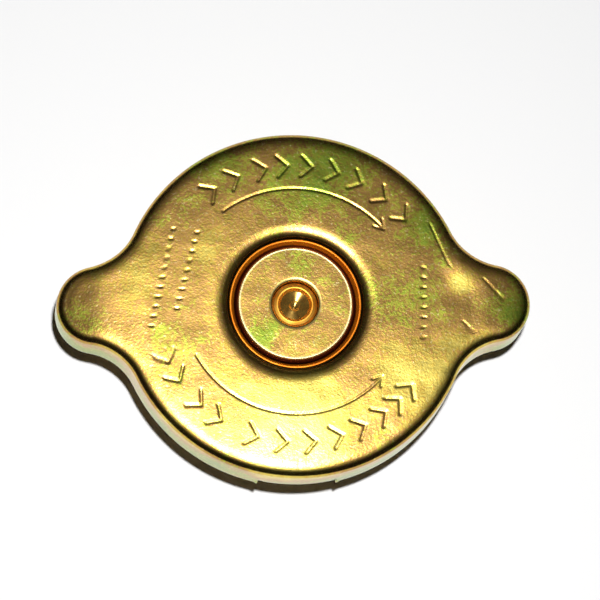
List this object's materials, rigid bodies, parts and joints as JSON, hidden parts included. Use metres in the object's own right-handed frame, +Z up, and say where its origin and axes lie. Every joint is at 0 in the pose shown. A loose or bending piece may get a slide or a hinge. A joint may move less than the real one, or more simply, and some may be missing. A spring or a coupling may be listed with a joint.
{
  "type": "radiator cap",
  "caption": "Pressed steel pressure cap with two ears, a riveted swivelling centre, and a spring-loaded pressure valve that holds a vacuum valve.",
  "frame": {"origin": "middle of the valve's foot, on the cap's axis, where the cap stands", "axes": "+Z up the cap's axis to the crown, +X along the two ears, +Y to a locking tab"},
  "size_m": [0.0822, 0.061, 0.0273],
  "materials": {
    "yellow_zinc": "zinc plated and yellow chromated, satin, with an iridescent tint",
    "copper": "satin",
    "rivet_brass": "polished",
    "spring_bronze": "rolled, satin",
    "zinc_steel": "bright zinc plated",
    "spring_steel": "drawn wire, oiled",
    "black_rubber": "moulded, matt"
  },
  "bodies": {
    "crown": {"crown": "yellow_zinc", "friction_ring": "copper"},
    "valve_carrier": {"centre_disc": "yellow_zinc", "centre_rivet": "rivet_brass", "rivet_washer": "zinc_steel", "spring_diaphragm": "spring_bronze", "valve_bell": "zinc_steel", "pressure_spring": "spring_steel"},
    "pressure_valve": {"valve_cup": "zinc_steel", "backing_plate": "zinc_steel", "pressure_seal": "black_rubber", "seal_retainer": "zinc_steel", "vacuum_spring": "spring_steel"},
    "vacuum_valve": {"vacuum_valve": "rivet_brass", "vacuum_seal": "black_rubber", "vacuum_spring_cap": "zinc_steel"}
  },
  "joints": [
    {"name": "centre_swivel", "type": "hinge", "parent": "crown", "child": "valve_carrier", "pos_m": [0, 0, 0.024], "axis": [0, 0, 1], "continuous": true},
    {"name": "pressure_lift", "type": "slide", "parent": "valve_carrier", "child": "pressure_valve", "axis": [0, 0, 1], "range_m": [0, 0.0045], "stiffness_N_per_m": 1200, "springref_m": -0.0025, "deforming": ["pressure_spring"]},
    {"name": "vacuum_open", "type": "slide", "parent": "pressure_valve", "child": "vacuum_valve", "axis": [0, 0, -1], "range_m": [0, 0.002], "stiffness_N_per_m": 60, "springref_m": -0.0025, "deforming": ["vacuum_spring"]}
  ]
}
